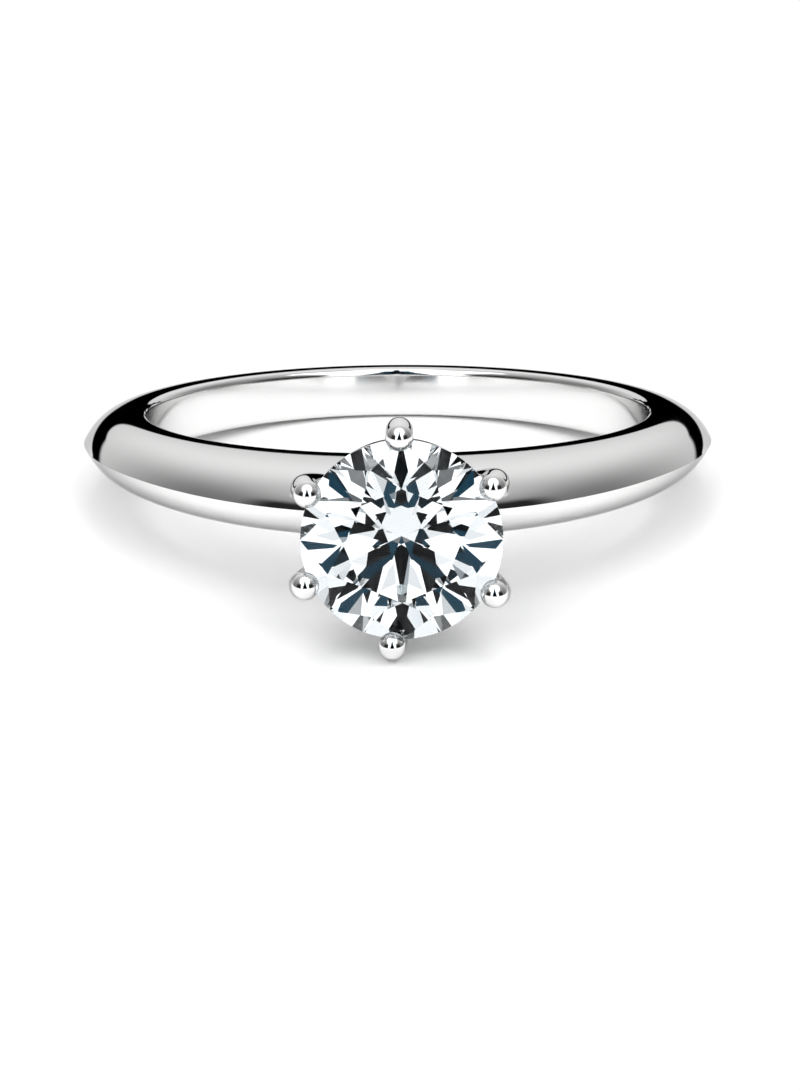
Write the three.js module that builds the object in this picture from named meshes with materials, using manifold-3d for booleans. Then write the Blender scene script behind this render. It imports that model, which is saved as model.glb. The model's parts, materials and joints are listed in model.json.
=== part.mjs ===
// A six-claw solitaire engagement ring in white metal, lying as it rests on a table.
//
// The ring's own frame has the finger bore along Z and the head towards -Y. The head has a frame
// of its own, with +Z running out along the head's axis from the centre of the bore. The finished
// ring is leant back until the lowest claw and the rear of the band both touch the ground, Z = 0.
// The pieces are soldered or set, so each keeps a thin solder or seat gap to its neighbour.

import * as THREE from "three";
import { mergeVertices } from "three/addons/utils/BufferGeometryUtils.js";
import Module from "manifold-3d";

const wasm = await Module();
wasm.setup();

// ---- Driving dimensions: millimetres, and degrees where the name says so ----

// Band
const finger_bore_radius = 8.25;
const band_side_thickness = 2.1; // bore to crest, a quarter turn from the head
const band_head_thickness = 4.0; // bore to crest, under the head
const band_back_thickness = 2.2; // bore to crest, opposite the head
const band_head_width = 2.43;
const band_back_width = 1.64;
const shoulder_rise_power = 4; // how late the band rises towards the head
const crest_lean_side = 0.52; // how far each flank leans back from the crest, beside and behind the bore
const crest_lean_head = 0.08; // the same under the head, where the crest is softer
const bore_edge_land = 0.25; // flat left between the flank and the rounded edge of the bore
const bore_edge_round = 0.25;

// Diamond
const stone_diameter = 6.35;
const table_share = 0.57; // table width across its corners, of the diameter
const star_share = 0.52; // how far the star facets reach from the table towards the girdle
const lower_half_share = 0.78; // how far the lower halves reach from the girdle to the culet
const crown_angle_deg = 34.5;
const pavilion_angle_deg = 40.8;
const girdle_thickness = 0.16;
const culet_height = 5.13; // bore surface to culet

// Head
const collar_radius = 1.55;
const collar_inlay = 1.0; // how deep the collar is let into the band's crest
const collar_stand = 0.6; // how far it stands above the crest
const collar_flare = 0.12; // how much narrower its foot is than its top
const collar_chamfer = 0.08;
const collar_wall = 0.14; // metal left outside the sockets that the claws stand in
const claw_foot_radius = 0.36;
const claw_tip_radius = 0.44;
const claw_socket_depth = 0.5;
const claw_bite = 0.18; // how deep the girdle is let into each claw
const claw_overlap = 0.28; // how far each tip reaches in over the crown
const claw_tip_height = 0.42; // girdle to the centre of the domed tip
const claw_shoulder_drop = 0.2; // girdle down to where the claw starts to bend in
const claw_bow = 0.35; // how far each claw bows out at the rail, off the straight line to its foot
const rail_drop = 1.55; // girdle down to the middle of the rail
const rail_height = 0.55;
const rail_web = 0.22; // metal left inside the notches that hold the claws
const rail_edge_round = 0.1;

// Gaps
const solder_gap = 0.03;
const seat_gap = 0.02;

// The claws are pushed over by hand, so each tip leans a little to one side of its foot.
const claws = [
  { name: "claw_1", foot_deg: 90, lean_deg: 1 },
  { name: "claw_2", foot_deg: 150, lean_deg: 2 },
  { name: "claw_3", foot_deg: 210, lean_deg: -5 },
  { name: "claw_4", foot_deg: 270, lean_deg: -5 },
  { name: "claw_5", foot_deg: 330, lean_deg: 0 },
  { name: "claw_6", foot_deg: 30, lean_deg: 1 },
];

// ---- How finely the round shapes are divided ----

const band_stations = 96;
const flank_points = 7;
const edge_points = 3;
const claw_sides = 16;
const claw_stations = 12;
const dome_rings = 4;
const collar_sides = 48;
const rail_sides = 72;
const girdle_sides = 96;

// ---- Sizes that follow from the driving dimensions ----

const stone_radius = stone_diameter / 2;
const crown_slope = Math.tan(THREE.MathUtils.degToRad(crown_angle_deg));
const pavilion_slope = Math.tan(THREE.MathUtils.degToRad(pavilion_angle_deg));
const pavilion_depth = stone_radius * pavilion_slope;
const girdle_z = finger_bore_radius + culet_height + pavilion_depth + girdle_thickness / 2;
const crest_z = finger_bore_radius + band_head_thickness;
const collar_foot_z = crest_z - collar_inlay;
const collar_top_z = crest_z + collar_stand;
const claw_foot_z = collar_top_z - claw_socket_depth;
const rail_z = girdle_z - rail_drop;
const claw_foot_circle = collar_radius - collar_wall - claw_foot_radius;

// ---- Helpers ----

// A solid from a closed geometry, with its shared vertices merged.
function solidOf(geometry) {
  const bare = geometry.clone();
  bare.deleteAttribute("normal");
  bare.deleteAttribute("uv");
  const merged = mergeVertices(bare, 1e-5);
  return new wasm.Manifold(
    new wasm.Mesh({
      numProp: 3,
      vertProperties: new Float32Array(merged.attributes.position.array),
      triVerts: new Uint32Array(merged.index.array),
    }),
  );
}

// A geometry with one flat normal for each triangle, from a solid.
function geometryOf(solid) {
  const mesh = solid.getMesh();
  const indexed = new THREE.BufferGeometry();
  indexed.setAttribute("position", new THREE.BufferAttribute(mesh.vertProperties, 3));
  indexed.setIndex(new THREE.BufferAttribute(mesh.triVerts, 1));
  const geometry = indexed.toNonIndexed();
  geometry.computeVertexNormals();
  return geometry;
}

// A skin over a row of rings with equal numbers of points. A closed row meets its own start;
// an open one is capped by a fan at each end.
function skin(rings, closed) {
  const sides = rings[0].length;
  const points = rings.flat();
  const faces = [];
  const spans = closed ? rings.length : rings.length - 1;
  for (let row = 0; row < spans; row++) {
    const here = row * sides;
    const next = ((row + 1) % rings.length) * sides;
    for (let side = 0; side < sides; side++) {
      const turn = (side + 1) % sides;
      faces.push(here + side, next + side, next + turn);
      faces.push(here + side, next + turn, here + turn);
    }
  }
  if (!closed) {
    const last = (rings.length - 1) * sides;
    for (let side = 1; side < sides - 1; side++) {
      faces.push(0, side, side + 1);
      faces.push(last, last + side + 1, last + side);
    }
  }
  const geometry = new THREE.BufferGeometry().setFromPoints(points);
  geometry.setIndex(faces);
  return geometry;
}

// A ring turned about Z from a closed profile of [radius, height] points.
function turned(profile, sides) {
  const outline = [...profile, profile[0]].map(([radius, height]) => new THREE.Vector2(radius, height));
  return new THREE.LatheGeometry(outline, sides).rotateX(Math.PI / 2);
}

// A round body about Z from [radius, height] points, upwards, with a flat end at each end.
function spindle(profile, sides) {
  const rings = profile.map(([radius, height]) => {
    const points = [];
    for (let side = 0; side < sides; side++) {
      const angle = (-side / sides) * 2 * Math.PI;
      points.push(new THREE.Vector3(radius * Math.cos(angle), radius * Math.sin(angle), height));
    }
    return points;
  });
  return skin(rings, false);
}

// A plain drill or plug along Z.
function roundBar(radius, low, high, sides) {
  const bar = new THREE.CylinderGeometry(radius, radius, high - low, sides);
  return bar.rotateX(Math.PI / 2).translate(0, 0, (low + high) / 2);
}

// The head's frame inside the ring's: +Z of the head runs towards -Y of the ring.
const head_turn = new THREE.Matrix4().makeRotationX(Math.PI / 2);

// ---- Shank: a band with rounded flanks that meet in a crest, wider and deeper at the head ----

// The half section at one angle from the head, from the crest round to the bore.
function halfSection(angle) {
  const towards_head = Math.max(0, Math.cos(angle)) ** shoulder_rise_power;
  const towards_back = Math.max(0, -Math.cos(angle)) ** 2;
  const crest_lean = THREE.MathUtils.lerp(
    crest_lean_side,
    crest_lean_head,
    Math.max(0, Math.cos(angle)) ** 2,
  );
  const thickness =
    band_side_thickness +
    (band_head_thickness - band_side_thickness) * towards_head +
    (band_back_thickness - band_side_thickness) * towards_back;
  const width = band_back_width + ((band_head_width - band_back_width) * (1 + Math.cos(angle))) / 2;
  const crest = finger_bore_radius + thickness;
  const half = width / 2;

  const flank = new THREE.QuadraticBezierCurve(
    new THREE.Vector2(crest, 0),
    new THREE.Vector2(crest - crest_lean, half),
    new THREE.Vector2(finger_bore_radius + bore_edge_round + bore_edge_land, half),
  );
  const edge = new THREE.QuadraticBezierCurve(
    new THREE.Vector2(finger_bore_radius + bore_edge_round, half),
    new THREE.Vector2(finger_bore_radius, half),
    new THREE.Vector2(finger_bore_radius, half - bore_edge_round),
  );
  return [...flank.getPoints(flank_points), ...edge.getPoints(edge_points)];
}

function bandRings() {
  const rings = [];
  for (let station = 0; station < band_stations; station++) {
    const angle = (station / band_stations) * 2 * Math.PI;
    const upper = halfSection(angle);
    const lower = upper.slice(1).reverse();
    const place = (point, side) =>
      new THREE.Vector3(point.x * Math.sin(angle), -point.x * Math.cos(angle), side * point.y);
    rings.push([...upper.map((point) => place(point, 1)), ...lower.map((point) => place(point, -1))]);
  }
  return rings;
}

function makeShank() {
  const band = solidOf(skin(bandRings(), true));
  const seat = roundBar(collar_radius + solder_gap, collar_foot_z - solder_gap, collar_top_z, collar_sides);
  return band.subtract(solidOf(seat.applyMatrix4(head_turn)));
}

// ---- Diamond: a round brilliant, ground from a round blank by one plane for each facet ----

// The 57 facets as planes, in the stone's frame: the middle of the girdle at Z = 0, table up.
function facetPlanes() {
  const rim = girdle_thickness / 2;
  const step = Math.PI / 4;
  const point = (radius, angle, height) =>
    new THREE.Vector3(radius * Math.cos(angle), radius * Math.sin(angle), height);
  const crownHeight = (reach) => rim + (stone_radius - reach) * crown_slope;
  const pavilionHeight = (reach) => -rim - (stone_radius - reach) * pavilion_slope;

  const table_radius = stone_radius * table_share;
  const star_radius = table_radius + (stone_radius - table_radius) * star_share;
  const lower_radius = stone_radius * (1 - lower_half_share);
  const half_step = step / 2;

  const planes = [new THREE.Plane(new THREE.Vector3(0, 0, 1), -crownHeight(table_radius))];
  const facet = (a, b, c) => {
    const plane = new THREE.Plane().setFromCoplanarPoints(a, b, c);
    // Every facet faces away from the middle of the stone.
    planes.push(plane.constant > 0 ? plane.negate() : plane);
  };

  for (let main = 0; main < 8; main++) {
    const angle = main * step;
    const corner = point(table_radius, angle, crownHeight(table_radius));
    const next_corner = point(table_radius, angle + step, crownHeight(table_radius));
    const side = Math.cos(half_step);
    const star = point(star_radius, angle + half_step, crownHeight(star_radius * side));
    const last_star = point(star_radius, angle - half_step, crownHeight(star_radius * side));
    facet(corner, star, last_star); // bezel
    facet(corner, next_corner, star); // star

    const culet = point(0, 0, pavilionHeight(0));
    const low = point(lower_radius, angle + half_step, pavilionHeight(lower_radius * side));
    const last_low = point(lower_radius, angle - half_step, pavilionHeight(lower_radius * side));
    facet(culet, low, last_low); // pavilion main

    for (const hand of [-1, 1]) {
      const rim_angle = angle + hand * half_step;
      const tip = hand > 0 ? star : last_star;
      const root = hand > 0 ? low : last_low;
      facet(tip, point(stone_radius, angle, rim), point(stone_radius, rim_angle, rim)); // upper half
      facet(root, point(stone_radius, angle, -rim), point(stone_radius, rim_angle, -rim)); // lower half
    }
  }
  return planes;
}

// The stone in the head's frame, grown all over by the given margin to cut its own seat.
function cutStone(margin) {
  const blank = roundBar(stone_radius + margin, -stone_diameter, stone_diameter, girdle_sides);
  let stone = solidOf(blank);
  for (const { normal, constant } of facetPlanes()) {
    stone = stone.trimByPlane([-normal.x, -normal.y, -normal.z], constant - margin);
  }
  return stone.translate([0, 0, girdle_z]);
}

// ---- Head: collar, claws and rail ----

// Distance of the straight leg of a claw from the head's axis, at one height.
const claw_shoulder_circle = stone_radius + claw_tip_radius - claw_bite;
const claw_shoulder_z = girdle_z - claw_shoulder_drop;

function clawCircleAt(height) {
  const share = (height - claw_foot_z) / (claw_shoulder_z - claw_foot_z);
  return THREE.MathUtils.lerp(claw_foot_circle, claw_shoulder_circle, share);
}

const rail_circle = clawCircleAt(rail_z) + claw_bow;

// The middle line of a claw: up from its foot, past the rail, and in over the crown.
function clawLine({ foot_deg, lean_deg }, foot_extra) {
  const at = (circle, height) => {
    const rise = (height - claw_foot_z) / (girdle_z - claw_foot_z);
    const angle = THREE.MathUtils.degToRad(foot_deg + lean_deg * rise);
    return new THREE.Vector3(circle * Math.cos(angle), circle * Math.sin(angle), height);
  };
  const foot_z = claw_foot_z - foot_extra;
  const tip_circle = stone_radius + claw_tip_radius - claw_overlap;
  return new THREE.CatmullRomCurve3([
    at(clawCircleAt(foot_z), foot_z),
    at(rail_circle, rail_z),
    at(claw_shoulder_circle, claw_shoulder_z),
    at(tip_circle, girdle_z + claw_tip_height),
  ]);
}

// A claw as a round wire that thickens towards its tip and ends in a dome.
function clawSolid(claw, margin) {
  const line = clawLine(claw, margin);
  const rings = [];
  const ring = (centre, across, up, radius) => {
    const points = [];
    for (let side = 0; side < claw_sides; side++) {
      const angle = (side / claw_sides) * 2 * Math.PI;
      const offset = across.clone().multiplyScalar(radius * Math.cos(angle));
      points.push(offset.addScaledVector(up, radius * Math.sin(angle)).add(centre));
    }
    rings.push(points);
  };
  const frameAt = (share) => {
    const along = line.getTangentAt(share);
    const angle = THREE.MathUtils.degToRad(claw.foot_deg);
    const sideways = new THREE.Vector3(-Math.sin(angle), Math.cos(angle), 0);
    const up = new THREE.Vector3().crossVectors(along, sideways).normalize();
    const across = new THREE.Vector3().crossVectors(up, along);
    return { along, across, up };
  };

  for (let station = 0; station <= claw_stations; station++) {
    const share = station / claw_stations;
    const { across, up } = frameAt(share);
    const radius = THREE.MathUtils.lerp(claw_foot_radius, claw_tip_radius, share) + margin;
    ring(line.getPointAt(share), across, up, radius);
  }
  const { along, across, up } = frameAt(1);
  const dome_radius = claw_tip_radius + margin;
  for (let step = 1; step <= dome_rings; step++) {
    const angle = ((step - 0.3) / dome_rings) * (Math.PI / 2);
    const centre = line.getPointAt(1).addScaledVector(along, dome_radius * Math.sin(angle));
    ring(centre, across, up, dome_radius * Math.cos(angle));
  }
  return solidOf(skin(rings.map((points) => points.reverse()), false));
}

function makeCollar() {
  const foot = collar_radius - collar_flare;
  const profile = [
    [foot, collar_foot_z],
    [collar_radius, collar_top_z - collar_chamfer],
    [collar_radius - collar_chamfer, collar_top_z],
  ];
  let collar = solidOf(spindle(profile, collar_sides));
  for (const claw of claws) collar = collar.subtract(clawSolid(claw, solder_gap));
  return collar;
}

function makeRail() {
  const outer = rail_circle;
  const inner = outer - claw_tip_radius - solder_gap - rail_web;
  const low = rail_z - rail_height / 2;
  const high = rail_z + rail_height / 2;
  const profile = [
    [inner, low + rail_edge_round],
    [inner + rail_edge_round, low],
    [outer - rail_edge_round, low],
    [outer, low + rail_edge_round],
    [outer, high - rail_edge_round],
    [outer - rail_edge_round, high],
    [inner + rail_edge_round, high],
    [inner, high - rail_edge_round],
  ];
  let rail = solidOf(turned(profile, rail_sides));
  for (const claw of claws) rail = rail.subtract(clawSolid(claw, solder_gap));
  return rail;
}

function makeClaw(claw) {
  return clawSolid(claw, 0).subtract(cutStone(seat_gap));
}

// ---- Assembly ----

const metal = new THREE.MeshStandardMaterial({ color: 0xd8dadc, roughness: 0.08, metalness: 1 });
const crystal = new THREE.MeshStandardMaterial({ color: 0xf2f7fa, roughness: 0.02, metalness: 0 });
crystal.transparent = true;
crystal.opacity = 0.6;

function piece(name, solid, material) {
  const mesh = new THREE.Mesh(geometryOf(solid), material);
  mesh.name = name;
  return mesh;
}

const head = new THREE.Group();
head.applyMatrix4(head_turn);
head.add(piece("head_collar", makeCollar(), metal));
head.add(piece("gallery_rail", makeRail(), metal));
for (const claw of claws) head.add(piece(claw.name, makeClaw(claw), metal));
head.add(piece("diamond", cutStone(0), crystal));

const ring = new THREE.Group();
ring.add(piece("shank", makeShank(), metal));
ring.add(head);

// The lowest vertex of the ring on one side of the bore, leant back by the given angle.
function lowestPoint(vertices, lean) {
  let lowest = vertices[0];
  const height = (point) => point.z * Math.cos(lean) - point.y * Math.sin(lean);
  for (const vertex of vertices) if (height(vertex) < height(lowest)) lowest = vertex;
  return lowest;
}

// The lean at which the lowest point in front and the lowest point behind are level.
function restingLean() {
  const front = [];
  const rear = [];
  ring.updateMatrixWorld(true);
  ring.traverse((object) => {
    if (!object.isMesh) return;
    const places = object.geometry.getAttribute("position");
    for (let index = 0; index < places.count; index++) {
      const vertex = new THREE.Vector3().fromBufferAttribute(places, index);
      vertex.applyMatrix4(object.matrixWorld);
      (vertex.y < 0 ? front : rear).push(vertex);
    }
  });
  let lean = 0;
  for (let round = 0; round < 10; round++) {
    const fore = lowestPoint(front, lean);
    const aft = lowestPoint(rear, lean);
    lean = Math.atan2(aft.z - fore.z, aft.y - fore.y);
  }
  return lean;
}

ring.rotation.x = -restingLean();
ring.updateMatrixWorld(true);
const box = new THREE.Box3().setFromObject(ring, true);
const middle = box.getCenter(new THREE.Vector3());
ring.position.set(-middle.x, -middle.y, -box.min.z);

const part = new THREE.Group();
part.add(ring);

export default part;
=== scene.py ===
import json
import math

import bmesh
import bpy
from mathutils import Matrix, Vector


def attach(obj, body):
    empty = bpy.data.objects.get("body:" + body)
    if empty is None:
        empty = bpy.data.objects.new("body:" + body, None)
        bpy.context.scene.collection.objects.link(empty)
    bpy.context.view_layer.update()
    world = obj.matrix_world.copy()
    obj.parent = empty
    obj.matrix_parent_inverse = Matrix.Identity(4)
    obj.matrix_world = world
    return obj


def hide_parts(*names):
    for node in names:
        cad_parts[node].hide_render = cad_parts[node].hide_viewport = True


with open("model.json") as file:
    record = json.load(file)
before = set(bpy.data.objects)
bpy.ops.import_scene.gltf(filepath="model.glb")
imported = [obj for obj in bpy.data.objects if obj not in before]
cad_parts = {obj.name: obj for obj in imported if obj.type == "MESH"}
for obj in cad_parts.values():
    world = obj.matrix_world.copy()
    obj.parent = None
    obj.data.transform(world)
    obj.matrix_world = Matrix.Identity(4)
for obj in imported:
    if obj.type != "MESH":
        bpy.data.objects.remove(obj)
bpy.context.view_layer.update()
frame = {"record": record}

MM = 0.001

# ---- Sizes of the ring in millimetres, the same as the CAD model's ----

FINGER_BORE_RADIUS = 8.25
BAND_SIDE_THICKNESS = 2.1
BAND_HEAD_THICKNESS = 4.0
BAND_BACK_THICKNESS = 2.2
BAND_HEAD_WIDTH = 2.43
BAND_BACK_WIDTH = 1.64
SHOULDER_RISE_POWER = 4
CREST_LEAN_SIDE = 0.52
CREST_LEAN_HEAD = 0.08
BORE_EDGE_LAND = 0.25
BORE_EDGE_ROUND = 0.25

STONE_RADIUS = 6.35 / 2
TABLE_SHARE = 0.57
STAR_SHARE = 0.52
LOWER_HALF_SHARE = 0.78
CROWN_SLOPE = math.tan(math.radians(34.5))
PAVILION_SLOPE = math.tan(math.radians(40.8))
GIRDLE_THICKNESS = 0.16
CULET_HEIGHT = 5.13

COLLAR_RADIUS = 1.55
COLLAR_INLAY = 1.0
COLLAR_STAND = 0.6
COLLAR_FLARE = 0.12
COLLAR_ROUND = 0.08
COLLAR_WALL = 0.14
CLAW_FOOT_RADIUS = 0.36
CLAW_TIP_RADIUS = 0.44
CLAW_SOCKET_DEPTH = 0.5
CLAW_BITE = 0.18
CLAW_OVERLAP = 0.28
CLAW_TIP_HEIGHT = 0.42
CLAW_SHOULDER_DROP = 0.2
CLAW_BOW = 0.35
RAIL_DROP = 1.55
RAIL_HEIGHT = 0.55
RAIL_WEB = 0.22
RAIL_ROUND = 0.1
SOLDER_GAP = 0.03
SEAT_GAP = 0.02

# Node, angle of the claw's foot round the head, and lean of its tip, in degrees.
CLAWS = [
    ("claw_1", 90, 1),
    ("claw_2", 150, 2),
    ("claw_3", 210, -5),
    ("claw_4", 270, -5),
    ("claw_5", 330, 0),
    ("claw_6", 30, 1),
]

GIRDLE_Z = FINGER_BORE_RADIUS + CULET_HEIGHT + STONE_RADIUS * PAVILION_SLOPE + GIRDLE_THICKNESS / 2
TABLE_Z = GIRDLE_Z + GIRDLE_THICKNESS / 2 + STONE_RADIUS * (1 - TABLE_SHARE) * CROWN_SLOPE
CREST_Z = FINGER_BORE_RADIUS + BAND_HEAD_THICKNESS
COLLAR_FOOT_Z = CREST_Z - COLLAR_INLAY
COLLAR_TOP_Z = CREST_Z + COLLAR_STAND
CLAW_FOOT_Z = COLLAR_TOP_Z - CLAW_SOCKET_DEPTH
CLAW_FOOT_CIRCLE = COLLAR_RADIUS - COLLAR_WALL - CLAW_FOOT_RADIUS
RAIL_Z = GIRDLE_Z - RAIL_DROP

# ---- The ring's own frame: bore along Z, head towards -Y, placed by the stone's table ----

table_mount = next(m for m in frame["record"]["mounts"] if m["name"] == "stone_table")
head_axis = Vector(table_mount["axis"]).normalized()
ring_centre = Vector(table_mount["pos_m"]) - head_axis * TABLE_Z * MM
across = Vector((1, 0, 0))
bore_axis = across.cross(-head_axis)
ring_turn = Matrix((across, -head_axis, bore_axis)).transposed().to_4x4()
ring_place = Matrix.Translation(ring_centre) @ ring_turn @ Matrix.Scale(MM, 4)
head_place = ring_place @ Matrix.Rotation(math.pi / 2, 4, "X")


# ---- Mesh helpers ----


def skin(rings, closed):
    """Vertices and quads over a row of rings. An open row is capped at both ends."""
    sides = len(rings[0])
    points = [point for ring in rings for point in ring]
    faces = []
    for row in range(len(rings) if closed else len(rings) - 1):
        here = row * sides
        after = ((row + 1) % len(rings)) * sides
        for side in range(sides):
            turn = (side + 1) % sides
            faces.append((here + side, after + side, after + turn, here + turn))
    if not closed:
        last = (len(rings) - 1) * sides
        faces.append(tuple(range(sides)))
        faces.append(tuple(last + side for side in reversed(range(sides))))
    return points, faces


def mesh_object(name, points, faces, place):
    mesh = bpy.data.meshes.new(name)
    mesh.from_pydata([place @ Vector(point) for point in points], [], faces)
    mesh.validate()
    piece = bpy.data.objects.new(name, mesh)
    bpy.context.scene.collection.objects.link(piece)
    faces_out(piece)
    return piece


def faces_out(piece):
    shape = bmesh.new()
    shape.from_mesh(piece.data)
    bmesh.ops.recalc_face_normals(shape, faces=shape.faces)
    shape.to_mesh(piece.data)
    shape.free()


def smooth(piece, sharp_deg):
    piece.data.shade_smooth()
    piece.data.set_sharp_from_angle(angle=math.radians(sharp_deg))


def circle(radius, height, sides):
    angles = [step / sides * 2 * math.pi for step in range(sides)]
    return [(radius * math.cos(angle), radius * math.sin(angle), height) for angle in angles]


def turned(name, profile, sides, place):
    """A closed profile of (radius, height) turned about Z."""
    rings = []
    for step in range(sides):
        angle = step / sides * 2 * math.pi
        rings.append([(r * math.cos(angle), r * math.sin(angle), z) for r, z in profile])
    return mesh_object(name, *skin(rings, True), place)


def cylinder(name, radius, low, high, sides, place):
    rings = [circle(radius, height, sides) for height in (low, high)]
    return mesh_object(name, *skin(rings, False), place)


def cut(piece, *tools):
    """Cuts the tools out of the piece, and deletes them."""
    for tool in tools:
        change = piece.modifiers.new("cut", "BOOLEAN")
        change.operation = "DIFFERENCE"
        change.solver = "EXACT"
        change.object = tool
    graph = bpy.context.evaluated_depsgraph_get()
    made = bpy.data.meshes.new_from_object(piece.evaluated_get(graph))
    made.name = piece.name
    piece.modifiers.clear()
    piece.data = made
    for tool in tools:
        bpy.data.objects.remove(tool)
    tidy = bmesh.new()
    tidy.from_mesh(made)
    bmesh.ops.remove_doubles(tidy, verts=tidy.verts, dist=1e-4 * MM)
    tidy.to_mesh(made)
    tidy.free()


def rounded(corners, radius, steps=5):
    """A closed (radius, height) profile with each of its convex corners rounded."""
    points = []
    for index, corner in enumerate(corners):
        here = Vector(corner)
        before = (Vector(corners[index - 1]) - here).normalized()
        after = (Vector(corners[(index + 1) % len(corners)]) - here).normalized()
        for step in range(steps + 1):
            share = step / steps
            start = here + before * radius
            end = here + after * radius
            point = start.lerp(here, share).lerp(here.lerp(end, share), share)
            points.append((point.x, point.y))
    return points


# ---- Band ----

BAND_STATIONS = 384
FLANK_STEPS = 28
EDGE_STEPS = 8


def half_section(angle):
    """The band's upper half section at one angle from the head, from the crest to the bore."""
    towards_head = max(0.0, math.cos(angle)) ** SHOULDER_RISE_POWER
    towards_back = max(0.0, -math.cos(angle)) ** 2
    thickness = (
        BAND_SIDE_THICKNESS
        + (BAND_HEAD_THICKNESS - BAND_SIDE_THICKNESS) * towards_head
        + (BAND_BACK_THICKNESS - BAND_SIDE_THICKNESS) * towards_back
    )
    crest_lean = CREST_LEAN_SIDE + (CREST_LEAN_HEAD - CREST_LEAN_SIDE) * max(0.0, math.cos(angle)) ** 2
    half = (BAND_BACK_WIDTH + (BAND_HEAD_WIDTH - BAND_BACK_WIDTH) * (1 + math.cos(angle)) / 2) / 2
    crest = FINGER_BORE_RADIUS + thickness
    land = FINGER_BORE_RADIUS + BORE_EDGE_ROUND

    def bend(start, middle, end, steps):
        a, b, c = Vector(start), Vector(middle), Vector(end)
        shares = [step / steps for step in range(steps + 1)]
        return [a.lerp(b, s).lerp(b.lerp(c, s), s) for s in shares]

    flank = bend((crest, 0), (crest - crest_lean, half), (land + BORE_EDGE_LAND, half), FLANK_STEPS)
    edge = bend(
        (land, half), (FINGER_BORE_RADIUS, half), (FINGER_BORE_RADIUS, half - BORE_EDGE_ROUND), EDGE_STEPS
    )
    return flank + edge


def make_shank():
    rings = []
    for station in range(BAND_STATIONS):
        angle = station / BAND_STATIONS * 2 * math.pi
        upper = half_section(angle)
        lower = upper[:0:-1]
        ring = [(p.x * math.sin(angle), -p.x * math.cos(angle), p.y) for p in upper]
        ring += [(p.x * math.sin(angle), -p.x * math.cos(angle), -p.y) for p in lower]
        rings.append(ring)
    band = mesh_object("shank_fine", *skin(rings, True), ring_place)
    seat = cylinder(
        "seat", COLLAR_RADIUS + SOLDER_GAP, COLLAR_FOOT_Z - SOLDER_GAP, COLLAR_TOP_Z, 96, head_place
    )
    cut(band, seat)
    smooth(band, 12)
    ring_frame = ring_place.inverted()
    for face in band.data.polygons:
        place = ring_frame @ face.center
        if math.hypot(place.x, place.y) < FINGER_BORE_RADIUS + BORE_EDGE_ROUND / 20:
            face.material_index = 1
    return band


# ---- Diamond ----


def facet_planes():
    """Each facet as (point on it, outward normal), with the middle of the girdle at Z = 0."""
    rim = GIRDLE_THICKNESS / 2
    step = math.pi / 4
    half_step = step / 2
    side = math.cos(half_step)

    def point(radius, angle, height):
        return Vector((radius * math.cos(angle), radius * math.sin(angle), height))

    def crown(reach):
        return rim + (STONE_RADIUS - reach) * CROWN_SLOPE

    def pavilion(reach):
        return -rim - (STONE_RADIUS - reach) * PAVILION_SLOPE

    table_radius = STONE_RADIUS * TABLE_SHARE
    star_radius = table_radius + (STONE_RADIUS - table_radius) * STAR_SHARE
    lower_radius = STONE_RADIUS * (1 - LOWER_HALF_SHARE)
    planes = [(Vector((0, 0, crown(table_radius))), Vector((0, 0, 1)))]

    def facet(a, b, c):
        normal = (b - a).cross(c - a).normalized()
        planes.append((a, normal if normal.dot(a) > 0 else -normal))

    for main in range(8):
        angle = main * step
        corner = point(table_radius, angle, crown(table_radius))
        next_corner = point(table_radius, angle + step, crown(table_radius))
        stars = [point(star_radius, angle + hand * half_step, crown(star_radius * side)) for hand in (1, -1)]
        low_height = pavilion(lower_radius * side)
        lows = [point(lower_radius, angle + hand * half_step, low_height) for hand in (1, -1)]
        facet(corner, stars[0], stars[1])
        facet(corner, next_corner, stars[0])
        facet(point(0, 0, pavilion(0)), lows[0], lows[1])
        for hand, star, low in zip((1, -1), stars, lows):
            rim_angle = angle + hand * half_step
            facet(star, point(STONE_RADIUS, angle, rim), point(STONE_RADIUS, rim_angle, rim))
            facet(low, point(STONE_RADIUS, angle, -rim), point(STONE_RADIUS, rim_angle, -rim))
    return planes


def cut_stone(name, margin, sides):
    """The stone, grown by the margin, ground out of a round blank."""
    radius = STONE_RADIUS + margin
    stone = cylinder(name, radius, -2 * STONE_RADIUS, 2 * STONE_RADIUS, sides, Matrix.Identity(4))
    shape = bmesh.new()
    shape.from_mesh(stone.data)
    for place, normal in facet_planes():
        whole = shape.verts[:] + shape.edges[:] + shape.faces[:]
        ground = bmesh.ops.bisect_plane(
            shape, geom=whole, dist=1e-6, plane_co=place + normal * margin, plane_no=normal, clear_outer=True
        )
        rim = [part for part in ground["geom_cut"] if isinstance(part, bmesh.types.BMEdge)]
        bmesh.ops.contextual_create(shape, geom=rim)
    shape.transform(head_place @ Matrix.Translation((0, 0, GIRDLE_Z)))
    bmesh.ops.recalc_face_normals(shape, faces=shape.faces)
    shape.to_mesh(stone.data)
    shape.free()
    return stone


def make_diamond():
    stone = cut_stone("diamond_fine", 0.0, 160)
    # The girdle's narrow faces stand square to the head's axis and are smooth all the way round.
    for face in stone.data.polygons:
        face.use_smooth = abs(face.normal.dot(head_axis)) < 0.01
        face.material_index = 1 if face.use_smooth else 0
    return stone


# ---- Head: collar, claws and rail ----

SHOULDER_CIRCLE = STONE_RADIUS + CLAW_TIP_RADIUS - CLAW_BITE
SHOULDER_Z = GIRDLE_Z - CLAW_SHOULDER_DROP
CLAW_SIDES = 48
CLAW_STEPS_PER_SPAN = 16
DOME_STEPS = 14


def claw_circle(height):
    share = (height - CLAW_FOOT_Z) / (SHOULDER_Z - CLAW_FOOT_Z)
    return CLAW_FOOT_CIRCLE + (SHOULDER_CIRCLE - CLAW_FOOT_CIRCLE) * share


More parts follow.
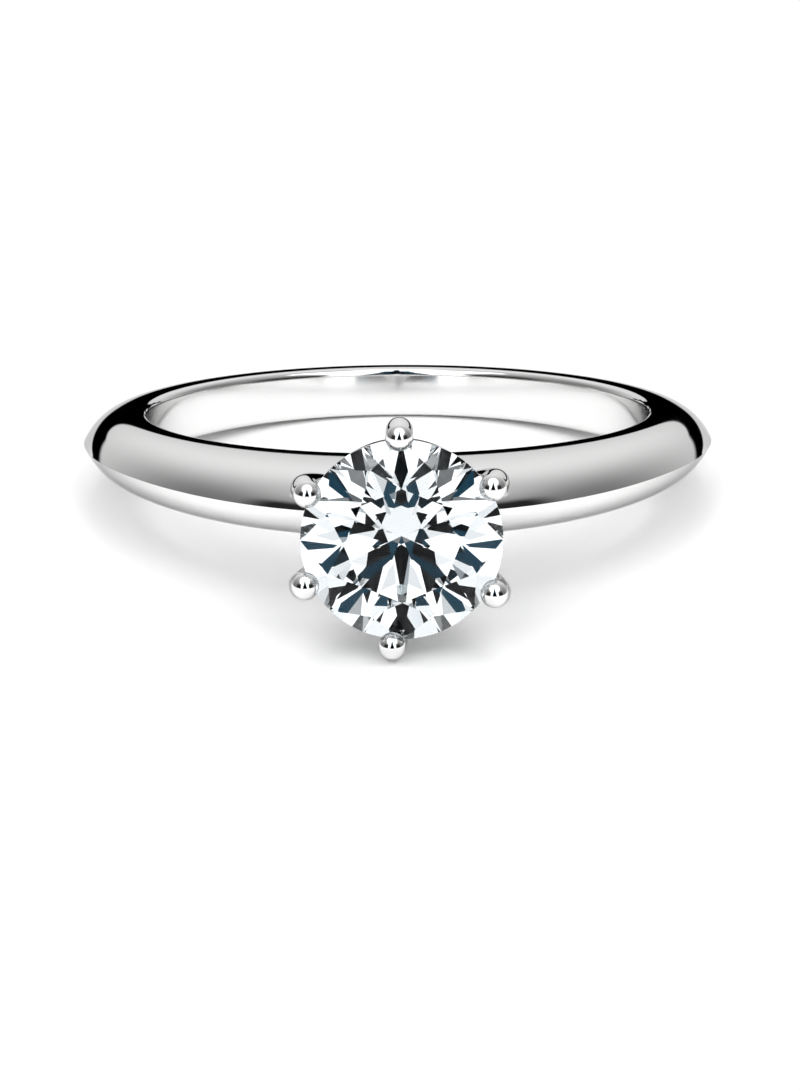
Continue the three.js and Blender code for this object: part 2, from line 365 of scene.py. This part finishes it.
def through(points, steps):
    """A centripetal Catmull-Rom curve through the points, as THREE.CatmullRomCurve3 draws it."""
    first = points[0] * 2 - points[1]
    last = points[-1] * 2 - points[-2]
    line = [first, *points, last]
    curve = []
    for span in range(1, len(line) - 2):
        p0, p1, p2, p3 = line[span - 1 : span + 3]
        t0, t1, t2 = [(b - a).length ** 0.5 for a, b in ((p0, p1), (p1, p2), (p2, p3))]
        m1 = ((p1 - p0) / t0 - (p2 - p0) / (t0 + t1) + (p2 - p1) / t1) * t1
        m2 = ((p2 - p1) / t1 - (p3 - p1) / (t1 + t2) + (p3 - p2) / t2) * t1
        for step in range(steps):
            t = step / steps
            curve.append(
                p1 * (2 * t**3 - 3 * t**2 + 1)
                + m1 * (t**3 - 2 * t**2 + t)
                + p2 * (3 * t**2 - 2 * t**3)
                + m2 * (t**3 - t**2)
            )
    return [*curve, points[-1]]


RAIL_CIRCLE = claw_circle(RAIL_Z) + CLAW_BOW


def claw_line(foot_deg, lean_deg):
    def at(circle, height):
        rise = (height - CLAW_FOOT_Z) / (GIRDLE_Z - CLAW_FOOT_Z)
        angle = math.radians(foot_deg + lean_deg * rise)
        return Vector((circle * math.cos(angle), circle * math.sin(angle), height))

    tip_circle = STONE_RADIUS + CLAW_TIP_RADIUS - CLAW_OVERLAP
    stops = [
        at(claw_circle(CLAW_FOOT_Z), CLAW_FOOT_Z),
        at(RAIL_CIRCLE, RAIL_Z),
        at(SHOULDER_CIRCLE, SHOULDER_Z),
        at(tip_circle, GIRDLE_Z + CLAW_TIP_HEIGHT),
    ]
    return through(stops, CLAW_STEPS_PER_SPAN)


def make_claw(node, foot_deg, lean_deg):
    line = claw_line(foot_deg, lean_deg)
    lengths = [0.0]
    for here, after in zip(line, line[1:]):
        lengths.append(lengths[-1] + (after - here).length)
    foot_angle = math.radians(foot_deg)
    sideways = Vector((-math.sin(foot_angle), math.cos(foot_angle), 0))
    rings = []

    def ring(centre, along, radius):
        up = along.cross(sideways).normalized()
        out = up.cross(along).normalized()
        angles = [side / CLAW_SIDES * 2 * math.pi for side in range(CLAW_SIDES)]
        rings.append([centre + out * radius * math.cos(a) + up * radius * math.sin(a) for a in angles])

    for index, centre in enumerate(line):
        before = line[max(index - 1, 0)]
        after = line[min(index + 1, len(line) - 1)]
        share = lengths[index] / lengths[-1]
        radius = CLAW_FOOT_RADIUS + (CLAW_TIP_RADIUS - CLAW_FOOT_RADIUS) * share
        ring(centre, (after - before).normalized(), radius)
    along = (line[-1] - line[-2]).normalized()
    for step in range(1, DOME_STEPS + 1):
        angle = (step - 0.15) / DOME_STEPS * math.pi / 2
        ring(line[-1] + along * CLAW_TIP_RADIUS * math.sin(angle), along, CLAW_TIP_RADIUS * math.cos(angle))
    claw = mesh_object(node + "_fine", *skin(rings, False), head_place)
    cut(claw, cut_stone("seat", SEAT_GAP, 160))
    smooth(claw, 32)
    return claw


def make_collar():
    corners = [
        (0, COLLAR_FOOT_Z),
        (COLLAR_RADIUS - COLLAR_FLARE, COLLAR_FOOT_Z),
        (COLLAR_RADIUS, COLLAR_TOP_Z),
        (0, COLLAR_TOP_Z),
    ]
    wall = [point for point in rounded(corners, COLLAR_ROUND) if point[0] > COLLAR_RADIUS / 2]
    collar = mesh_object("head_collar_fine", *skin([circle(r, z, 128) for r, z in wall], False), head_place)
    smooth(collar, 40)
    return collar


def make_rail():
    outer = RAIL_CIRCLE
    inner = outer - CLAW_TIP_RADIUS - SOLDER_GAP - RAIL_WEB
    low = RAIL_Z - RAIL_HEIGHT / 2
    high = RAIL_Z + RAIL_HEIGHT / 2
    corners = [(inner, low), (outer, low), (outer, high), (inner, high)]
    rail = turned("gallery_rail_fine", rounded(corners, RAIL_ROUND * 1.6), 192, head_place)
    smooth(rail, 40)
    return rail


# ---- Materials ----


def material(name):
    made = bpy.data.materials.new(name)
    made.use_nodes = True
    made.node_tree.nodes.clear()
    return made, made.node_tree.nodes, made.node_tree.links


def platinum(name, smoothest, roughest, grain_depth):
    """White metal: polishing haze varies its roughness, and hairlines ripple its mirror."""
    made, nodes, links = material(name)
    shader = nodes.new("ShaderNodeBsdfPrincipled")
    shader.inputs["Metallic"].default_value = 1.0
    shader.inputs["Base Color"].default_value = (0.87, 0.87, 0.865, 1)
    shader.inputs["Specular Tint"].default_value = (0.52, 0.52, 0.52, 1)
    place = nodes.new("ShaderNodeTexCoord")

    haze = nodes.new("ShaderNodeTexNoise")
    haze.inputs["Scale"].default_value = 350
    haze.inputs["Detail"].default_value = 3
    links.new(place.outputs["Object"], haze.inputs["Vector"])
    rough = nodes.new("ShaderNodeMapRange")
    rough.inputs["From Min"].default_value = 0.35
    rough.inputs["From Max"].default_value = 0.7
    rough.inputs["To Min"].default_value = smoothest
    rough.inputs["To Max"].default_value = roughest
    links.new(haze.outputs["Fac"], rough.inputs["Value"])
    links.new(rough.outputs["Result"], shader.inputs["Roughness"])

    hairlines = nodes.new("ShaderNodeTexNoise")
    hairlines.inputs["Scale"].default_value = 9000
    hairlines.inputs["Detail"].default_value = 2
    links.new(place.outputs["Object"], hairlines.inputs["Vector"])
    bump = nodes.new("ShaderNodeBump")
    bump.inputs["Strength"].default_value = 0.02
    bump.inputs["Distance"].default_value = grain_depth
    links.new(hairlines.outputs["Fac"], bump.inputs["Height"])
    links.new(bump.outputs["Normal"], shader.inputs["Normal"])

    out = nodes.new("ShaderNodeOutputMaterial")
    links.new(shader.outputs["BSDF"], out.inputs["Surface"])
    return made


def diamond():
    """Clear stone. Its facets are flawless but for a trace of polishing haze and growth colour."""
    made, nodes, links = material("diamond_facets")
    shader = nodes.new("ShaderNodeBsdfPrincipled")
    shader.inputs["IOR"].default_value = 2.417
    shader.inputs["Transmission Weight"].default_value = 1.0
    shader.inputs["Specular Tint"].default_value = (0.06, 0.06, 0.06, 1)
    place = nodes.new("ShaderNodeTexCoord")
    growth = nodes.new("ShaderNodeTexNoise")
    growth.inputs["Scale"].default_value = 260
    links.new(place.outputs["Object"], growth.inputs["Vector"])
    colour = nodes.new("ShaderNodeValToRGB")
    colour.color_ramp.elements[0].color = (0.74, 0.785, 0.81, 1)
    colour.color_ramp.elements[1].color = (0.78, 0.82, 0.845, 1)
    links.new(growth.outputs["Fac"], colour.inputs["Fac"])
    links.new(colour.outputs["Color"], shader.inputs["Base Color"])
    polish = nodes.new("ShaderNodeTexNoise")
    polish.inputs["Scale"].default_value = 2500
    links.new(place.outputs["Object"], polish.inputs["Vector"])
    haze = nodes.new("ShaderNodeMapRange")
    haze.inputs["To Min"].default_value = 0.0
    haze.inputs["To Max"].default_value = 0.004
    links.new(polish.outputs["Fac"], haze.inputs["Value"])
    links.new(haze.outputs["Result"], shader.inputs["Roughness"])
    out = nodes.new("ShaderNodeOutputMaterial")
    links.new(shader.outputs["BSDF"], out.inputs["Surface"])
    return made


def girdle():
    made, nodes, links = material("diamond_girdle")
    shader = nodes.new("ShaderNodeBsdfPrincipled")
    shader.inputs["Base Color"].default_value = (1, 1, 1, 1)
    shader.inputs["IOR"].default_value = 2.417
    shader.inputs["Transmission Weight"].default_value = 1.0
    grind = nodes.new("ShaderNodeTexNoise")
    grind.inputs["Scale"].default_value = 12000
    rough = nodes.new("ShaderNodeMapRange")
    rough.inputs["To Min"].default_value = 0.2
    rough.inputs["To Max"].default_value = 0.5
    links.new(grind.outputs["Fac"], rough.inputs["Value"])
    links.new(rough.outputs["Result"], shader.inputs["Roughness"])
    out = nodes.new("ShaderNodeOutputMaterial")
    links.new(shader.outputs["BSDF"], out.inputs["Surface"])
    return made


# ---- Pieces ----

metal = platinum("polished_platinum", 0.015, 0.045, 0.00001)
bore_metal = platinum("finger_worn_platinum", 0.09, 0.16, 0.00002)


def finish_piece(piece, node, slot, *looks):
    for look in looks:
        piece.data.materials.append(look)
    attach(piece, "root")
    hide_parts(node)


finish_piece(make_shank(), "shank", "platinum", metal, bore_metal)
finish_piece(make_collar(), "head_collar", "platinum", metal)
finish_piece(make_rail(), "gallery_rail", "platinum", metal)
for claw_name, foot_deg, lean_deg in CLAWS:
    finish_piece(make_claw(claw_name, foot_deg, lean_deg), claw_name, "platinum", metal)
finish_piece(make_diamond(), "diamond", "diamond", diamond(), girdle())

# ---- Floor, light and camera ----

FLOOR_REACH_MM = 36
ROOM_LIGHT = 0.19
WALL_LIGHT = 1.05
WALL_POWER = 2.4
CEILING_LIGHT = 0.48
SHEET_LIGHT = 1.06
STRIP_LOW_DEG = -3.5
STRIP_HIGH_DEG = 6.5
STRIP_HALF_WIDTH = 0.6
STRIP_TAPER = 1.5
STRIP_SOFTNESS = 0.01
STRIP_END_SOFTNESS = 0.04
PANEL_ELEVATION_DEG = 62
PANEL_HALF_ANGLE_DEG = 40
PANEL_SOFTNESS = 0.03
PANEL_LIGHT = 1.7
FRONT_SHADE = 0.9
SHADE_FRONT = (0.15, 0.45)
SHADE_UP = (0.3, 0.6)
BOX_REACH = 0.66
BOX_SOFTNESS = 0.08
GAP_TAPER = 0.3
GAP_SOFTNESS = 0.02
GAP_WIDTHS = [(0.34, (0.012, 0.055, 0.09, 1)), (0.24, (0.001, 0.0015, 0.002, 1))]
FILL_DISTANCE = 0.5
FILL_WIDTH = 0.6
FILL_LIGHT = 1.2
KEY_PLACE = (0, 0.35, 0.5)
KEY_WIDTH = 0.18
KEY_POWER = 0.35


def make_floor():
    """A white sheet. It ends a little way behind the ring, and the studio is dark low down past it."""
    size = FLOOR_REACH_MM * MM
    corners = [(-size, -size, 0), (size, -size, 0), (size, size, 0), (-size, size, 0)]
    floor = mesh_object("floor", corners, [(0, 1, 2, 3)], Matrix.Identity(4))
    made, nodes, links = material("white_floor")
    shader = nodes.new("ShaderNodeBsdfPrincipled")
    shader.inputs["Base Color"].default_value = (0.93, 0.93, 0.93, 1)
    shader.inputs["Roughness"].default_value = 0.9
    shader.inputs["Specular IOR Level"].default_value = 0.0
    out = nodes.new("ShaderNodeOutputMaterial")
    links.new(shader.outputs["BSDF"], out.inputs["Surface"])
    floor.data.materials.append(made)


def make_world():
    """Studio light by direction: a bright wall behind, grey sides, and a dark strip low at the back."""
    world = bpy.data.worlds.new("studio")
    bpy.context.scene.world = world
    world.use_nodes = True
    nodes, links = world.node_tree.nodes, world.node_tree.links
    nodes.clear()

    def math_node(operation, *values):
        node = nodes.new("ShaderNodeMath")
        node.operation = operation
        for socket, value in zip(node.inputs, values):
            if isinstance(value, (int, float)):
                socket.default_value = value
            else:
                links.new(value, socket)
        return node.outputs[0]

    def ramp(value, start, end, low=0.0, high=1.0):
        node = nodes.new("ShaderNodeMapRange")
        node.interpolation_type = "SMOOTHSTEP"
        node.inputs["From Min"].default_value = start
        node.inputs["From Max"].default_value = end
        node.inputs["To Min"].default_value = low
        node.inputs["To Max"].default_value = high
        links.new(value, node.inputs["Value"])
        return node.outputs["Result"]

    place = nodes.new("ShaderNodeTexCoord")
    split = nodes.new("ShaderNodeSeparateXYZ")
    links.new(place.outputs["Generated"], split.inputs["Vector"])
    sideways, back, up = split.outputs

    # Grey room, brighter behind the ring and overhead.
    wall = math_node("MULTIPLY", math_node("POWER", math_node("MAXIMUM", back, 0.0), WALL_POWER), WALL_LIGHT)
    ceiling = math_node("MULTIPLY", math_node("MULTIPLY", up, up), CEILING_LIGHT)
    front = math_node("MULTIPLY", back, -1.0)
    room = math_node("ADD", math_node("ADD", wall, ceiling), ROOM_LIGHT)

    # The studio is darker low down on the camera's side, past the softboxes.
    dusk = math_node("MULTIPLY", ramp(front, *SHADE_FRONT), ramp(up, *SHADE_UP, FRONT_SHADE, 0.0))
    room = math_node("MULTIPLY", room, math_node("SUBTRACT", 1.0, dusk))

    # A big round softbox above the camera, and one on either side of it down to the sheet.
    level = math_node("MULTIPLY", front, math.cos(math.radians(PANEL_ELEVATION_DEG)))
    raised = math_node("MULTIPLY", up, math.sin(math.radians(PANEL_ELEVATION_DEG)))
    rim = math.cos(math.radians(PANEL_HALF_ANGLE_DEG))
    overhead = ramp(math_node("ADD", level, raised), rim - PANEL_SOFTNESS, rim + PANEL_SOFTNESS)
    turn = math_node("DIVIDE", math_node("ABSOLUTE", sideways), math_node("MAXIMUM", front, 0.001))
    beside = ramp(turn, BOX_REACH - BOX_SOFTNESS, BOX_REACH + BOX_SOFTNESS, 1.0, 0.0)
    panel = math_node("MAXIMUM", overhead, beside)
    panelled = nodes.new("ShaderNodeMix")
    links.new(panel, panelled.inputs["Factor"])
    links.new(room, panelled.inputs["A"])
    panelled.inputs["B"].default_value = PANEL_LIGHT

    # Below the horizon the sheet goes on. The dark strip lies between it and the wall.
    horizon = math.sin(math.radians(STRIP_LOW_DEG))
    below = ramp(up, horizon - STRIP_SOFTNESS, horizon + STRIP_SOFTNESS, 1.0, 0.0)
    whole = nodes.new("ShaderNodeMix")
    links.new(below, whole.inputs["Factor"])
    links.new(panelled.outputs["Result"], whole.inputs["A"])
    whole.inputs["B"].default_value = SHEET_LIGHT
    strip_top = math.sin(math.radians(STRIP_HIGH_DEG))
    low_enough = ramp(up, strip_top - STRIP_SOFTNESS, strip_top + STRIP_SOFTNESS, 1.0, 0.0)
    high_enough = ramp(up, horizon - STRIP_SOFTNESS, horizon + STRIP_SOFTNESS)
    slant = math_node("ADD", math_node("ABSOLUTE", sideways), math_node("MULTIPLY", up, STRIP_TAPER))
    slant_start = STRIP_HALF_WIDTH - STRIP_END_SOFTNESS
    inside = ramp(slant, slant_start, STRIP_HALF_WIDTH + STRIP_END_SOFTNESS, 1.0, 0.0)
    at_back = math_node("GREATER_THAN", back, 0.0)
    in_height = math_node("MULTIPLY", low_enough, high_enough)
    strip = math_node("MULTIPLY", math_node("MULTIPLY", in_height, inside), at_back)
    light = math_node("MULTIPLY", whole.outputs["Result"], math_node("SUBTRACT", 1.0, strip))

    # The gap between the boxes, where the camera stands: deep blue at its edges and black inside.
    seen = light
    for width, colour in GAP_WIDTHS:
        edge = math_node("ADD", turn, math_node("MULTIPLY", up, GAP_TAPER))
        in_gap = ramp(edge, width - GAP_SOFTNESS, width + GAP_SOFTNESS, 1.0, 0.0)
        above_sheet = math_node("MULTIPLY", in_gap, high_enough)
        blend = nodes.new("ShaderNodeMix")
        blend.data_type = "RGBA"
        links.new(above_sheet, blend.inputs["Factor"])
        links.new(seen, blend.inputs["A"])
        blend.inputs["B"].default_value = colour
        seen = blend.outputs["Result"]

    background = nodes.new("ShaderNodeBackground")
    links.new(seen, background.inputs["Color"])
    out = nodes.new("ShaderNodeOutputWorld")
    links.new(background.outputs["Background"], out.inputs["Surface"])


def make_fill(name, azimuth_deg, elevation_deg):
    """A white card beside the camera that only lights the sheet."""
    azimuth, elevation = math.radians(azimuth_deg), math.radians(elevation_deg)
    way = Vector((math.sin(azimuth), math.cos(azimuth), math.tan(elevation))).normalized()
    data = bpy.data.lights.new(name, "AREA")
    data.shape = "SQUARE"
    data.size = FILL_WIDTH
    data.energy = FILL_LIGHT * math.pi * FILL_WIDTH**2
    card = bpy.data.objects.new(name, data)
    bpy.context.scene.collection.objects.link(card)
    facing = way.to_track_quat("Z", "Y").to_matrix().to_4x4()
    card.matrix_world = Matrix.Translation(way * FILL_DISTANCE) @ facing
    card.visible_glossy = False
    card.visible_transmission = False


def make_key():
    """A softbox over and behind the ring that only lights the sheet, so its shadow falls forwards."""
    data = bpy.data.lights.new("key", "AREA")
    data.shape = "SQUARE"
    data.size = KEY_WIDTH
    data.energy = KEY_POWER
    box = bpy.data.objects.new("key", data)
    bpy.context.scene.collection.objects.link(box)
    place = Vector(KEY_PLACE)
    box.matrix_world = Matrix.Translation(place) @ place.to_track_quat("Z", "Y").to_matrix().to_4x4()
    box.visible_glossy = False
    box.visible_transmission = False


def make_camera():
    """A long lens, at the height that shows the finger hole as a narrow ellipse."""
    distance = 300 * MM
    pitch = math.radians(11.8) + math.asin(head_axis.z)
    turn_left = math.radians(0.43)
    roll = math.radians(0.25)
    aim_below_ring = 3.5 * MM
    aim_right_of_ring = 0.08 * MM
    frame_height_mm = 36.0
    lens = 300.0

    forward = Vector((0, math.cos(pitch), -math.sin(pitch)))
    up = Vector((0, math.sin(pitch), math.cos(pitch)))
    right = Vector((1, 0, 0))
    swing = Matrix.Rotation(-turn_left, 3, "Z") @ Matrix.Rotation(roll, 3, forward)
    forward, up, right = (swing @ way for way in (forward, up, right))
    data = bpy.data.cameras.new("camera")
    data.sensor_width = frame_height_mm
    data.lens = lens
    data.clip_start = 0.01
    data.clip_end = 20
    camera = bpy.data.objects.new("camera", data)
    bpy.context.scene.collection.objects.link(camera)
    spot = ring_centre - forward * distance - up * aim_below_ring + right * aim_right_of_ring
    camera.matrix_world = Matrix.Translation(spot) @ Matrix((right, up, -forward)).transposed().to_4x4()
    bpy.context.scene.camera = camera


make_floor()
make_world()
make_fill("fill_left", -138, 24)
make_fill("fill_right", 138, 24)
make_key()
make_camera()
scene = bpy.context.scene
scene.view_settings.view_transform = "Standard"
scene.cycles.max_bounces = 24
scene.cycles.transmission_bounces = 24
scene.cycles.glossy_bounces = 8
